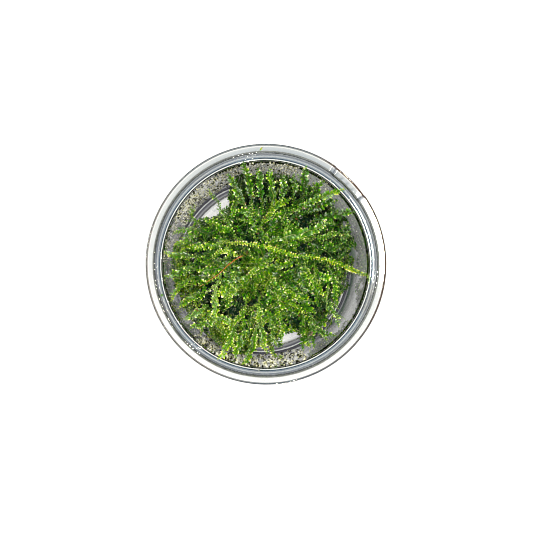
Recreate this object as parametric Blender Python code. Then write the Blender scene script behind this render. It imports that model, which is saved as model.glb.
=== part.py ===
"""Clump of moss shoots in a clear, open plastic culture cup.

Units are metres and +Z is up. The origin is on the cup's axis, in the plane of its foot.
The cup is one turned shell. The moss is a dense tangle, the mat, with the shoots that
stand out of it laid over its top and against the cup's wall, each a solid of its own.
"""

import math
import random

import bmesh
import bpy
import numpy as np
from mathutils import Vector, noise
from mathutils.bvhtree import BVHTree

# The cup
RIM_RADIUS = 0.0475
CUP_HEIGHT = 0.054
WALL = 0.0008
FLOOR_TOP = 0.0030
FLOOR_RADIUS = 0.0344
CHANNEL_TOP = 0.0012
WALL_ROOT_RADIUS = 0.0377
WALL_ROOT_Z = 0.0022
WALL_TOP_RADIUS = 0.0412
LEDGE_Z = 0.0494
LEDGE_OUTER_RADIUS = 0.0435
LAND_INNER_RADIUS = 0.0451
LAND_OUTER_RADIUS = 0.0467
SKIRT_BOTTOM = 0.0500
FOOT_INNER_RADIUS = 0.0359
FOOT_OUTER_RADIUS = 0.0371
CUP_STEPS = 60

# The notch in the rim, where a fingernail lifts the lid
NOTCH_AZIMUTH = 44.5
NOTCH_WIDTH = 21.0
NOTCH_RAMP = 1.6
NOTCH_DEPTH = 0.0018
CROWN_Z = 0.0515

# The mat, the dense middle of the tangle
MAT_BOTTOM = FLOOR_TOP + 0.0003
MAT_SHOULDER = 0.0280
MAT_CROWN = 0.0360
MAT_STEPS = 56
MAT_SIDE_STEPS = 7
MAT_TOP_STEPS = 8
MAT_LUMP = 0.0017
# Its outline: azimuth in degrees and radius. It bares the cup's floor at 127 and 287 degrees.
MAT_EDGE = [
    (0, 0.0335),
    (15, 0.0350),
    (35, 0.0378),
    (60, 0.0380),
    (78, 0.0366),
    (98, 0.0380),
    (111, 0.0355),
    (120, 0.0266),
    (134, 0.0262),
    (150, 0.0312),
    (170, 0.0355),
    (190, 0.0358),
    (201, 0.0342),
    (215, 0.0358),
    (231, 0.0325),
    (250, 0.0355),
    (262, 0.0345),
    (273, 0.0318),
    (287, 0.0282),
    (301, 0.0345),
    (312, 0.0342),
    (323, 0.0322),
    (345, 0.0328),
]
SPRIG_SHARE = 0.22
SPRIG_LONGEST = 0.0034

# The eye that the shoots' routes were seen from. A low place lies further out than it looks.
EYE_PLACE = np.array([-0.0158, -0.0132])
EYE_HEIGHT = 0.554

# The shoots
GAP = 0.0005
SHOOT_SIDES = 6
RING_SPACING = 0.0030
STEP = 0.0005
REACH = 0.048
TIP_SHARE = 0.45
BEND_WINDOW = 7

# Shoots that lean out of the mat to the wall or over the ledge.
# Each has its thickest radius, the least height of its tip, and its route from root to tip,
# as the eye sees it in the plane of the rim.
RIM_SHOOTS = [
    (0.0012, 0.046, [(-0.0290, 0.0030), (-0.0325, 0.0035), (-0.0365, 0.0034), (-0.0402, 0.0044)]),
    (0.0010, 0.041, [(-0.0290, 0.0110), (-0.0330, 0.0093), (-0.0360, 0.0068)]),
    (0.0011, 0.043, [(-0.0275, 0.0135), (-0.0325, 0.0135), (-0.0372, 0.0125)]),
    (0.0009, 0.040, [(-0.0262, 0.0150), (-0.0287, 0.0180), (-0.0305, 0.0225)]),
    (0.0009, 0.042, [(-0.0150, 0.0175), (-0.0175, 0.0210), (-0.0196, 0.0248), (-0.0230, 0.0293)]),
    (0.0015, 0.044, [(-0.0087, 0.0230), (-0.0112, 0.0280), (-0.0133, 0.0325), (-0.0152, 0.0364)]),
    (0.0015, 0.050, [(-0.0058, 0.0250), (-0.0068, 0.0310), (-0.0078, 0.0360), (-0.0092, 0.0406)]),
    (0.0014, 0.044, [(-0.0018, 0.0240), (-0.0025, 0.0300), (-0.0026, 0.0345), (-0.0030, 0.0390)]),
    (0.0014, 0.043, [(0.0026, 0.0240), (0.0024, 0.0290), (0.0018, 0.0340), (0.0012, 0.0384)]),
    (0.0015, 0.040, [(0.0060, 0.0250), (0.0066, 0.0300), (0.0072, 0.0350)]),
    (0.0013, 0.041, [(0.0108, 0.0260), (0.0109, 0.0300), (0.0108, 0.0355)]),
    (0.0015, 0.050, [(0.0145, 0.0260), (0.0151, 0.0310), (0.0154, 0.0350), (0.0156, 0.0390)]),
    (0.0014, 0.045, [(0.0180, 0.0265), (0.0203, 0.0300), (0.0226, 0.0330)]),
    (0.0016, 0.043, [(0.0150, 0.0205), (0.0190, 0.0220), (0.0235, 0.0240), (0.0285, 0.0258)]),
    (0.0016, 0.049, [(0.0190, 0.0170), (0.0240, 0.0186), (0.0290, 0.0198), (0.0350, 0.0210)]),
    (0.0013, 0.040, [(0.0290, 0.0075), (0.0310, 0.0115), (0.0325, 0.0160)]),
    (0.0012, 0.040, [(0.0235, -0.0145), (0.0260, -0.0180), (0.0280, -0.0215), (0.0295, -0.0248)]),
    (0.0012, 0.044, [(0.0190, -0.0240), (0.0215, -0.0266), (0.0245, -0.0276), (0.0276, -0.0286)]),
    (0.0015, 0.041, [(0.0142, -0.0215), (0.0143, -0.0260), (0.0143, -0.0300), (0.0148, -0.0340)]),
    (0.0012, 0.040, [(0.0176, -0.0220), (0.0181, -0.0260), (0.0185, -0.0300), (0.0186, -0.0334)]),
    (0.0012, 0.037, [(0.0062, -0.0200), (0.0063, -0.0240), (0.0062, -0.0280), (0.0059, -0.0312)]),
    (0.0011, 0.037, [(0.0018, -0.0230), (0.0026, -0.0275), (0.0032, -0.0318)]),
    (0.0013, 0.041, [(-0.0018, -0.0240), (-0.0012, -0.0290), (-0.0002, -0.0352)]),
    (0.0013, 0.048, [(-0.0045, -0.0270), (-0.0053, -0.0320), (-0.0068, -0.0363), (-0.0094, -0.0394)]),
    (0.0013, 0.044, [(-0.0095, -0.0275), (-0.0110, -0.0325), (-0.0122, -0.0372)]),
    (0.0014, 0.050, [(-0.0130, -0.0265), (-0.0152, -0.0320), (-0.0170, -0.0353), (-0.0190, -0.0374)]),
    (0.0012, 0.044, [(-0.0205, -0.0225), (-0.0240, -0.0236), (-0.0275, -0.0246), (-0.0308, -0.0254)]),
    (0.0012, 0.042, [(-0.0250, -0.0175), (-0.0285, -0.0200), (-0.0318, -0.0222)]),
    (0.0013, 0.041, [(-0.0280, -0.0125), (-0.0312, -0.0145), (-0.0342, -0.0172)]),
    (0.0011, 0.044, [(-0.0300, -0.0060), (-0.0335, -0.0085), (-0.0360, -0.0110), (-0.0375, -0.0145)]),
    (0.0012, 0.046, [(-0.0295, -0.0020), (-0.0345, -0.0034), (-0.0398, -0.0046)]),
]

# Shoots that lie across the mat, the lowest first. Each has its thickest radius and its route.
TOP_SHOOTS = [
    (0.0015, [(-0.0120, 0.0110), (-0.0165, 0.0140), (-0.0210, 0.0165), (-0.0250, 0.0180)]),
    (0.0014, [(-0.0180, 0.0085), (-0.0220, 0.0068), (-0.0265, 0.0064), (-0.0310, 0.0060)]),
    (0.0014, [(-0.0215, 0.0020), (-0.0180, 0.0050), (-0.0145, 0.0046), (-0.0110, 0.0036)]),
    (0.0015, [(-0.0046, 0.0110), (-0.0050, 0.0150), (-0.0066, 0.0186), (-0.0092, 0.0208), (-0.0125, 0.0214)]),
    (0.0015, [(-0.0020, 0.0150), (0.0006, 0.0188), (0.0030, 0.0218), (0.0058, 0.0240), (0.0095, 0.0258)]),
    (0.0019, [(0.0050, 0.0102), (0.0110, 0.0114), (0.0160, 0.0126), (0.0202, 0.0142), (0.0245, 0.0165)]),
    (0.0012, [(0.0185, 0.0098), (0.0225, 0.0108), (0.0265, 0.0116), (0.0300, 0.0120)]),
    (0.0014, [(0.0160, -0.0020), (0.0180, -0.0062), (0.0208, -0.0100), (0.0240, -0.0132)]),
    (0.0015, [(0.0250, -0.0020), (0.0268, -0.0065), (0.0272, -0.0110), (0.0276, -0.0160)]),
    (0.0013, [(0.0048, -0.0060), (0.0078, -0.0098), (0.0106, -0.0124), (0.0145, -0.0146)]),
    (0.0012, [(0.0020, -0.0108), (0.0055, -0.0130), (0.0090, -0.0149), (0.0122, -0.0170), (0.0155, -0.0196)]),
    (0.0014, [(-0.0195, -0.0085), (-0.0203, -0.0130), (-0.0200, -0.0175), (-0.0203, -0.0225)]),
    (0.0014, [(-0.0130, -0.0060), (-0.0136, -0.0100), (-0.0144, -0.0136), (-0.0162, -0.0178)]),
    (0.0014, [(-0.0005, 0.0008), (-0.0040, -0.0020), (-0.0076, -0.0055), (-0.0106, -0.0088)]),
    (0.0013, [(-0.0085, -0.0165), (-0.0096, -0.0205), (-0.0090, -0.0245)]),
    (0.0013, [(-0.0030, -0.0160), (-0.0031, -0.0200), (-0.0035, -0.0235)]),
    (0.0006, [(0.0074, 0.0115), (0.0070, 0.0150), (0.0069, 0.0190), (0.0073, 0.0230)]),
]

# The reddish old stem, the shoot that overhangs the rim's notch, and the long one on top of them all
RED_STEM = (0.0006, [(-0.0095, 0.0032), (-0.0125, 0.0015), (-0.0152, -0.0006),
                     (-0.0178, -0.0032), (-0.0204, -0.0052), (-0.0232, -0.0070), (-0.0260, -0.0088)])
NOTCH_SHOOT = (0.0017, [(0.0110, 0.0212), (0.0160, 0.0236), (0.0210, 0.0262),
                        (0.0255, 0.0280), (0.0290, 0.0292), (0.0314, 0.0298)])
NOTCH_SHOOT_TIP_Z = 0.0515
LONG_SHOOT = (0.0015, [(-0.0160, 0.0083), (-0.0095, 0.0082), (-0.0035, 0.0074), (0.0030, 0.0058),
                       (0.0085, 0.0040), (0.0140, 0.0030), (0.0200, 0.0026), (0.0255, 0.0010),
                       (0.0310, -0.0008), (0.0360, -0.0028), (0.0396, -0.0042), (0.0414, -0.0054), (0.0410, -0.0076)])

# Base colour and roughness of each material
CLEAR_PLASTIC = ((0.92, 0.95, 0.95), 0.05)
MAT_GREEN = ((0.07, 0.17, 0.03), 0.45)
LEAF_GREEN = ((0.14, 0.30, 0.03), 0.40)
TIP_GREEN = ((0.32, 0.45, 0.05), 0.40)
STEM_RED = ((0.45, 0.10, 0.04), 0.40)


def clear_scene():
    for obj in list(bpy.data.objects):
        bpy.data.objects.remove(obj)


def material(name, colour, roughness):
    made = bpy.data.materials.new(name)
    made.use_nodes = True
    shader = made.node_tree.nodes["Principled BSDF"]
    shader.inputs["Base Color"].default_value = (*colour, 1.0)
    shader.inputs["Roughness"].default_value = roughness
    shader.inputs["Metallic"].default_value = 0.0
    return made


def finished(name, shape, finish):
    """Turns a bmesh into a named, smooth-shaded object with outward faces."""
    bmesh.ops.recalc_face_normals(shape, faces=shape.faces)
    mesh = bpy.data.meshes.new(name)
    shape.to_mesh(mesh)
    shape.free()
    mesh.shade_smooth()
    mesh.set_sharp_from_angle(angle=math.radians(40))
    mesh.materials.append(finish)
    obj = bpy.data.objects.new(name, mesh)
    bpy.context.scene.collection.objects.link(obj)
    return obj


def bridged(shape, rings):
    """Joins neighbouring rings of vertices with faces; a ring of one vertex closes to a point."""
    for low, high in zip(rings, rings[1:]):
        count = max(len(low), len(high))
        for k in range(count):
            corners = [low[k % len(low)], low[(k + 1) % len(low)], high[(k + 1) % len(high)], high[k % len(high)]]
            shape.faces.new(list(dict.fromkeys(corners)))


def cup_profile():
    """The cup's section as (radius, height) points: up its inside, over the rim, down its outside."""
    rise = NOTCH_DEPTH / 2
    inside = [
        (0.0, FLOOR_TOP),
        (FLOOR_RADIUS, FLOOR_TOP),
        (FOOT_INNER_RADIUS, CHANNEL_TOP + WALL / 2),
        (FOOT_OUTER_RADIUS - WALL / 4, CHANNEL_TOP),
        (WALL_ROOT_RADIUS, WALL_ROOT_Z),
        (WALL_TOP_RADIUS, LEDGE_Z - WALL),
        (WALL_TOP_RADIUS + WALL / 2, LEDGE_Z),
        (LEDGE_OUTER_RADIUS, LEDGE_Z),
        (LEDGE_OUTER_RADIUS + WALL / 2, LEDGE_Z + WALL / 2),
    ]
    crown = [
        (LEDGE_OUTER_RADIUS + WALL * 0.75, CUP_HEIGHT - rise),
        (LAND_INNER_RADIUS - WALL / 2, CUP_HEIGHT - WALL / 4),
        (LAND_INNER_RADIUS, CUP_HEIGHT),
        (LAND_OUTER_RADIUS, CUP_HEIGHT),
        (RIM_RADIUS, CUP_HEIGHT - rise),
    ]
    outside = [
        (RIM_RADIUS, SKIRT_BOTTOM),
        (RIM_RADIUS - WALL, SKIRT_BOTTOM),
        (RIM_RADIUS - WALL, CUP_HEIGHT - rise - WALL / 2),
        (LAND_OUTER_RADIUS - WALL / 2, CUP_HEIGHT - WALL),
        (LAND_INNER_RADIUS + WALL / 4, CUP_HEIGHT - WALL),
        (LEDGE_OUTER_RADIUS + WALL * 1.75, CUP_HEIGHT - rise - WALL / 2),
        (LEDGE_OUTER_RADIUS + WALL * 1.5, LEDGE_Z - WALL / 4),
        (LEDGE_OUTER_RADIUS + WALL, LEDGE_Z - WALL),
        (WALL_TOP_RADIUS + WALL * 1.4, LEDGE_Z - WALL),
        (WALL_TOP_RADIUS + WALL, LEDGE_Z - WALL * 1.6),
        (WALL_ROOT_RADIUS + WALL, WALL_ROOT_Z),
        (FOOT_OUTER_RADIUS, 0.0),
        (FOOT_INNER_RADIUS, 0.0),
        (FLOOR_RADIUS - WALL / 2, FLOOR_TOP - WALL),
        (0.0, FLOOR_TOP - WALL),
    ]
    return inside + crown + outside


def notch_share(azimuth):
    """1 in the notch, 0 out of it, and in between on its sloped ends; azimuth is in degrees."""
    off = abs((azimuth - NOTCH_AZIMUTH + 180) % 360 - 180)
    return min(1.0, max(0.0, (NOTCH_WIDTH / 2 - off) / NOTCH_RAMP))


def cup_azimuths():
    """Even steps round the cup, with extra ones at the notch's corners."""
    ends = [NOTCH_AZIMUTH + side * (NOTCH_WIDTH / 2 - inset) for side in (-1, 1) for inset in (0, NOTCH_RAMP)]
    even = [360.0 * k / CUP_STEPS for k in range(CUP_STEPS)]
    clear = [a for a in even if all(abs(a - end) > NOTCH_RAMP * 0.6 for end in ends)]
    return sorted(clear + ends)


def build_cup(finish):
    shape = bmesh.new()
    azimuths = cup_azimuths()
    rings = []
    for radius, height in cup_profile():
        if radius == 0.0:
            rings.append([shape.verts.new((0, 0, height))])
            continue
        ring = []
        for azimuth in azimuths:
            drop = NOTCH_DEPTH * notch_share(azimuth) if height > CROWN_Z else 0.0
            turn = math.radians(azimuth)
            ring.append(shape.verts.new((radius * math.cos(turn), radius * math.sin(turn), height - drop)))
        rings.append(ring)
    bridged(shape, rings)
    return finished("cup", shape, finish)


def wall_radius(height):
    """The cup's inner radius at a height on its wall."""
    share = (height - WALL_ROOT_Z) / (LEDGE_Z - WALL - WALL_ROOT_Z)
    return WALL_ROOT_RADIUS + (WALL_TOP_RADIUS - WALL_ROOT_RADIUS) * share


def mat_radius(azimuth):
    """The mat's radius at its shoulder."""
    first, last = MAT_EDGE[0], MAT_EDGE[-1]
    around = [(last[0] - 360, last[1]), *MAT_EDGE, (first[0] + 360, first[1])]
    return float(np.interp(azimuth % 360, *zip(*around)))


def lump(point):
    """A smooth unevenness between about -1 and 1 that changes over a few millimetres."""
    return noise.noise(point * 160) + 0.6 * noise.noise(point * 330)


def mat_rows():
    """Share of the mat's radius, height and share of lumps of each of its rings, from the bottom up."""
    rows = [(0.45, MAT_BOTTOM, 0.0), (0.82, MAT_BOTTOM, 0.0)]
    for k in range(MAT_SIDE_STEPS):
        share = k / (MAT_SIDE_STEPS - 1)
        bulge = 0.90 + 0.10 * math.sin(math.pi * (0.15 + 0.75 * share))
        rows.append((bulge, MAT_BOTTOM + 0.002 + (MAT_SHOULDER - MAT_BOTTOM - 0.002) * share, 1.0))
    for k in range(1, MAT_TOP_STEPS):
        turn = math.pi / 2 * k / MAT_TOP_STEPS
        rows.append((math.cos(turn) ** 0.8, MAT_SHOULDER + (MAT_CROWN - MAT_SHOULDER) * math.sin(turn), 1.0))
    return rows


def build_mat(finish):
    """The dense tangle: a lumpy round mass with short sprigs standing out of its sides and shoulder."""
    chance = random.Random(11)
    shape = bmesh.new()
    rows = mat_rows()
    rings = [[shape.verts.new((0, 0, MAT_BOTTOM))]]
    for number, (share, height, lumps) in enumerate(rows):
        ring = []
        for k in range(MAT_STEPS):
            azimuth = 360.0 * (k + 0.5 * (number % 2)) / MAT_STEPS
            turn = math.radians(azimuth)
            radius = mat_radius(azimuth) * share
            point = Vector((radius * math.cos(turn), radius * math.sin(turn), height))
            swell = MAT_LUMP * lumps * lump(point)
            sprig = 0.0
            if number > 2 and chance.random() < SPRIG_SHARE:
                sprig = chance.uniform(0.5, 1.0) * SPRIG_LONGEST
            radius = min(radius + swell + sprig * share, wall_radius(height) - 2 * GAP)
            height_now = height + swell * 0.8 * (number > 2) + sprig * (1 - 0.7 * share)
            ring.append(shape.verts.new((radius * math.cos(turn), radius * math.sin(turn), height_now)))
        rings.append(ring)
    rings.append([shape.verts.new((0, 0, MAT_CROWN))])
    bridged(shape, rings)
    return finished("moss_mat", shape, finish)


def smooth_route(route):
    """Plan points a step apart on a Catmull-Rom curve through the given ones."""
    points = [np.array(point) for point in route]
    ends = [2 * points[0] - points[1], *points, 2 * points[-1] - points[-2]]
    dense = []
    for a, b, c, d in zip(ends, ends[1:], ends[2:], ends[3:]):
        for t in np.linspace(0, 1, 24, endpoint=False):
            dense.append(0.5 * (2 * b + (c - a) * t + (2 * a - 5 * b + 4 * c - d) * t**2
                                + (3 * b - a - 3 * c + d) * t**3))
    dense.append(points[-1])
    dense = np.array(dense)
    along = np.concatenate([[0], np.cumsum(np.linalg.norm(np.diff(dense, axis=0), axis=1))])
    places = np.linspace(0, along[-1], max(4, round(along[-1] / STEP)) + 1)
    return np.stack([np.interp(places, along, dense[:, k]) for k in range(2)], axis=1)


class Pile:
    """Height of whatever lies highest at each point of a fine plan grid, so that each shoot is laid clear of it."""

    def __init__(self, objects):
        count = round(2 * REACH / STEP) + 1
        self.places = np.linspace(-REACH, REACH, count)
        self.top = np.zeros((count, count))
        trees = [self.tree_of(obj) for obj in objects]
        for i, x in enumerate(self.places):
            for j, y in enumerate(self.places):
                for tree in trees:
                    hit = tree.ray_cast(Vector((x, y, 0.1)), Vector((0, 0, -1)))[0]
                    if hit is not None:
                        self.top[i, j] = max(self.top[i, j], hit.z)

    @staticmethod
    def tree_of(obj):
        mesh = obj.data
        return BVHTree.FromPolygons([v.co for v in mesh.vertices], [p.vertices for p in mesh.polygons])

    def patch(self, x, y, reach):
        """The grid cells within reach of a plan point, and the square of their distance to it."""
        count = len(self.places)
        i0, i1 = (int(round((x + s * reach + REACH) / STEP)) + (s > 0) for s in (-1, 1))
        j0, j1 = (int(round((y + s * reach + REACH) / STEP)) + (s > 0) for s in (-1, 1))
        cells = np.s_[max(i0, 0):min(i1, count), max(j0, 0):min(j1, count)]
        square = (self.places[cells[0], None] - x) ** 2 + (self.places[None, cells[1]] - y) ** 2
        return cells, square

    def rest_height(self, x, y, radius):
        """The lowest height at which a ball of this radius, with a gap round it, clears the pile."""
        reach = radius + GAP
        cells, square = self.patch(x, y, reach)
        near = square < reach**2
        return float((self.top[cells] + np.sqrt(np.where(near, reach**2 - square, 0)))[near].max())

    def add(self, x, y, z, radius):
        cells, square = self.patch(x, y, radius)
        near = square < radius**2
        ball = np.where(near, z + np.sqrt(np.where(near, radius**2 - square, 0)), 0)
        self.top[cells] = np.maximum(self.top[cells], ball)


def taper(share, radius):
    """A shoot's radius at a share of its length: a thin root, a full middle and a pointed tip."""
    root = min(1.0, 0.55 + 2.5 * share)
    tip = min(1.0, TIP_SHARE + (1 - share) * 3.0)
    return radius * min(root, tip)


def true_place(seen, height):
    """Where points that the eye sees in the plane of the rim really lie, at their height."""
    return EYE_PLACE + (seen - EYE_PLACE) * ((EYE_HEIGHT - height) / (EYE_HEIGHT - CUP_HEIGHT))[:, None]


def rest_heights(pile, plan, radii, tip_height):
    """Heights of a stiff shoot that lies on the pile, its tip held at least at tip_height."""
    shares = np.linspace(0, 1, len(plan))
    rest = np.array([pile.rest_height(x, y, r) for (x, y), r in zip(plan, radii)])
    rest = np.maximum(rest, rest[0] + (tip_height - rest[0]) * shares**1.2)
    window = 2 * BEND_WINDOW + 1
    padded = np.pad(rest, 2 * BEND_WINDOW, mode="edge")
    highest = np.array([padded[k:k + window].max() for k in range(len(rest) + 2 * BEND_WINDOW)])
    return np.array([highest[k:k + window].mean() for k in range(len(rest))])


def laid(pile, route, radius, tip_height=0.0):
    """Centreline points and radii of a shoot laid on the pile along the route that the eye sees."""
    seen = smooth_route(route)
    radii = np.array([taper(share, radius) for share in np.linspace(0, 1, len(seen))])
    heights = np.full(len(seen), MAT_CROWN)
    for _ in range(2):
        plan = true_place(seen, heights)
        heights = rest_heights(pile, plan, radii, tip_height)
    for (x, y), z, r in zip(plan, heights, radii):
        pile.add(x, y, z, r)
    return np.column_stack([plan, heights]), radii


def build_shoot(name, points, radii, finish):
    """A tube of a few sides along the centreline, closed to a point at each end."""
    count = max(4, round(len(points) * STEP / RING_SPACING)) + 1
    picks = np.linspace(0, len(points) - 1, count).round().astype(int)
    shape = bmesh.new()
    rings = []
    side = None
    for pick in picks:
        ahead = Vector(points[min(pick + 1, len(points) - 1)] - points[max(pick - 1, 0)]).normalized()
        side = ahead.cross(Vector((0, 0, 1)) if side is None else side.cross(ahead)).normalized()
        over = side.cross(ahead)
        middle = Vector(points[pick])
        ring = []
        for k in range(SHOOT_SIDES):
            turn = 2 * math.pi * k / SHOOT_SIDES
            out = side * math.cos(turn) + over * math.sin(turn)
            ring.append(shape.verts.new(middle + out * float(radii[pick])))
        rings.append(ring)
    start, end = Vector(points[0]), Vector(points[-1])
    back = (start - Vector(points[1])).normalized() * float(radii[0]) * 0.5
    front = (end - Vector(points[-2])).normalized() * float(radii[-1]) * 0.5
    rings = [[shape.verts.new(start + back)], *rings, [shape.verts.new(end + front)]]
    bridged(shape, rings)
    return finished(name, shape, finish)


def build_shoots(pile, finishes):
    """Lays every shoot in turn, the rim's first and the long one last."""
    for number, (radius, tip_height, route) in enumerate(RIM_SHOOTS, 1):
        build_shoot(f"rim_shoot_{number:02d}", *laid(pile, route, radius, tip_height), finishes["tip"])
    for number, (radius, route) in enumerate(TOP_SHOOTS, 1):
        build_shoot(f"top_shoot_{number:02d}", *laid(pile, route, radius), finishes["leaf"])
    radius, route = NOTCH_SHOOT
    build_shoot("notch_shoot", *laid(pile, route, radius, NOTCH_SHOOT_TIP_Z), finishes["tip"])
    radius, route = RED_STEM
    build_shoot("red_stem", *laid(pile, route, radius), finishes["red"])
    radius, route = LONG_SHOOT
    build_shoot("long_shoot", *laid(pile, route, radius), finishes["tip"])


def main():
    clear_scene()
    plastic = material("clear_plastic", *CLEAR_PLASTIC)
    mat_green = material("moss_mat", *MAT_GREEN)
    finishes = {
        "leaf": material("moss_leaf", *LEAF_GREEN),
        "tip": material("moss_tip", *TIP_GREEN),
        "red": material("red_stem", *STEM_RED),
    }
    cup = build_cup(plastic)
    mat = build_mat(mat_green)
    build_shoots(Pile([cup, mat]), finishes)


main()
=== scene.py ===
"""Looks of the clump of moss in its clear plastic culture cup.

Every shoot of the frame is rebuilt as a stem with small leaves along the middle of its solid.
The mat is rebuilt as many such shoots, which start deep in it and come up under its surface.
The cup is turned again at a fine pitch and gets the droplets that hang on its inside.
Lengths are in metres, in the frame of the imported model. Its z axis is the cup's axis.
"""

import random
from dataclasses import dataclass
from math import acos, atan2, cos, degrees, exp, hypot, pi, radians, sin, tan

import bmesh
import bpy
import numpy as np
from mathutils import Matrix, Vector, noise
from mathutils.bvhtree import BVHTree
from numpy.linalg import norm


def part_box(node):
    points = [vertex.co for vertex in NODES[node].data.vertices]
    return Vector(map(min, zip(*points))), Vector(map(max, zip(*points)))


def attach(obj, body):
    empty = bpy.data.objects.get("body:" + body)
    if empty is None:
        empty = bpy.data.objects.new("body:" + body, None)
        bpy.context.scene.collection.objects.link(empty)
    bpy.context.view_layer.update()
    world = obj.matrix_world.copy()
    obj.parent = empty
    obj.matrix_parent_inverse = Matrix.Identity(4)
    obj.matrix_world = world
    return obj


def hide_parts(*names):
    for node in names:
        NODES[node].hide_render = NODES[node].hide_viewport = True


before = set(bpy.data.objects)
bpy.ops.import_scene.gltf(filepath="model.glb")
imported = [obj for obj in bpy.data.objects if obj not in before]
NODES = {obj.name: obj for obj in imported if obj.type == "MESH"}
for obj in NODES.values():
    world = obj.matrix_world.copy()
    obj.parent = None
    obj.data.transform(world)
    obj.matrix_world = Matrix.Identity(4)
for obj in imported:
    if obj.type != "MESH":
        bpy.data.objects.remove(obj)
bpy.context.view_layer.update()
BODY = "root"

# The cup. Its rim radius and height come from the frame.
RIM_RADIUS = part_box("cup")[1].x
CUP_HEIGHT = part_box("cup")[1].z
WALL = 0.0008
FLOOR_TOP = 0.003
CHANNEL_TOP = 0.0012
CHANNEL_RADIUS = 0.0365
FOOT_RADIUS = 0.0374
WALL_ROOT_RADIUS = 0.0377
WALL_ROOT_Z = 0.0022
WALL_TOP_RADIUS = 0.0412
WALL_TOP_THICKNESS = 0.0004
LEDGE_Z = 0.0494
WALL_TOP_EDGE = 0.001
GROOVE_RADIUS = 0.0423
GROOVE_DEPTH = 0.0003
LEDGE_RADIUS = 0.0435
LAND_RADIUS = 0.0438
SKIRT_BOTTOM = 0.05
SKIRT_WALL = 0.0005
CUP_STEPS = 288
FILLET_STEPS = 5
NOTCH_AZIMUTH = 44.5
NOTCH_WIDTH = 21.0
NOTCH_RAMP = 1.6
NOTCH_DEPTH = 0.0018
CROWN_Z = 0.0515
# How much painted dark the notch's sloped ends and its dashes get, how close the dashes are and where they
# end
SLOPE_PAINTED_DARK = 0.6
DASH_PAINTED_DARK = 0.8
DASH_TURNS = 1.7
DASHES_END = RIM_RADIUS - 0.001
# The foot of the wall gets painted shade up to this height
SHADY_UP_TO = 0.012
WHITE = (1.0, 1.0, 1.0)
PAINTED_MOSS_REFLECTION = (0.002, 0.016, 0.001)
PAINTED_BROWN_SHADE = (0.16, 0.05, 0.006)
PAINTED_SHADOW_COLOUR = (0.02, 0.02, 0.03)
PAINTED_BLUE_REFLECTION = (0.03, 0.08, 0.15)
# The painted tint turns from a blue painted reflection to a dark painted shadow between these
# values of noise less the pull times the height.
BLUE_UP_TO = 0.02
DARK_FROM = 0.14
HEIGHT_PULL = 10.0
# How much of the wall's painted shade and painted reflection of the moss shows where the wall is faced
FACED_SHARE = 0.26
# How much painted shade and painted reflection of the moss's green the wall gets, as (azimuth in degrees,
# share)
WALL_PAINTED_SHADES = [
    (0, 1.09), (30, 1.09), (55, 0.8), (80, 0.72), (150, 0.71), (180, 0.9),
    (205, 1.02), (225, 0.93), (245, 0.38), (290, 0.38), (305, 0.96), (345, 1.09),
]

# Where the rim's land shows most of its blue painted reflection, in degrees
BLUEST_AZIMUTH = 75.0
# How much painted brownish shade the rim's outer edge gets, in the same way; the rest of its tint is
# painted dark
RIM_PAINTED_BROWN = [
    (0, 1.0), (55, 1.0), (70, 0.2), (130, 0.2), (150, 0.7), (240, 0.7), (270, 0.1), (335, 0.9),
]

# The camera, and where the photo shows the middle of the rim
PHOTO_SIDE = 533
RIM_MIDDLE_PX = (266.4, 263.9)
RIM_RADIUS_PX = 120.5
EYE_PLACE = (-0.0158, -0.0132)
EYE_ABOVE_RIM = 0.5
SENSOR = 36.0

# Light
FLOOR_GLOW = 0.9
# Small lamps all round, each by its azimuth and elevation in degrees and its power
LAMPS = [(48, 60, 8.4), (165, 68, 6.0), (285, 66, 6.0), (20, 80, 3.0)]
LAMP_DISTANCE = 1.1
LAMP_SIZE = 0.12
LAMPS_AIM = Vector((0, 0, 0.03))
LAMP_COLOUR = (1.0, 0.97, 0.8)
OVERHEAD_SIZE = 0.9
OVERHEAD_POWER = 7.0
OVERHEAD_COLOUR = (1.0, 1.0, 0.84)
ROOM_STRENGTH = 0.16

# Shoots
SHOOT_SIDES = 6
STEP = 0.00025
STEM_STEP = 0.001
STEM_SIDES = 5
ROOT_RUN = 0.005
LEAF_SHARE = 1.15
DEAD_SHARE = 0.01
LIGHT_THROUGH = 0.18
# The angle between a leaf and its stem in degrees, above and below the stem and at its sides
FACE_SPREAD = 34
SIDE_SPREAD = 58
# Leaves close up and get shorter over this last stretch of a shoot
TIP_RUN = 0.0025
# How much paler or darker than a leaf's own colour its foot, its middle line and its tip are.
# The darker foot is painted shade; the pale tip, which often reaches the near-white end of the
# leaf colours, is a painted glint.
FOOT_PAINTED_SHADE = 0.35
MIDDLE_PALENESS = 0.7
TIP_PAINTED_GLINT = 2.2

# The shoots that make up the mat
SECTORS = 6
# Leaves and stems take on painted shade between these depths below the mat's surface
SHADE_FROM = 0.0003
SHADE_TO = 0.0026
MATTE_FROM = 0.45
# The top's triangles face up at least this much and lie this far above the mat's lowest point.
TOP_SLOPE = 0.35
TOP_HEIGHT = 0.01
FRINGE_LOW = 0.018
# The step along a shoot's route, and how late the route dips on its way from tip to root
ROUTE_STEP = 0.001
DIP_POWER = 2.8
# From this radius on, over this stretch, shoots turn more and more outward.
EDGE_FROM = 0.009
EDGE_RUN = 0.015
WALL_CLEARANCE = 0.0016
EASED_UNDER_LEDGE = 0.004
# The clump is thin in patches some millimetres wide, where noise of this scale is below this value.
THIN_PATCHES = 150.0
THIN_BELOW = -0.04
# It is paler and darker in wider patches, and each shoot differs from its neighbours.
PALER_PATCHES = 95.0
PATCH_CONTRAST = 1.8
SHOOT_CONTRAST = 0.35
# It is younger and yellower towards its lower left; painted light makes it paler there and painted
# shade makes it darker towards its upper right.
YOUNGER_AWAY_FROM = np.array([0.5, 0.85, 0.0])
SUNNY_SPAN = 0.06
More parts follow.
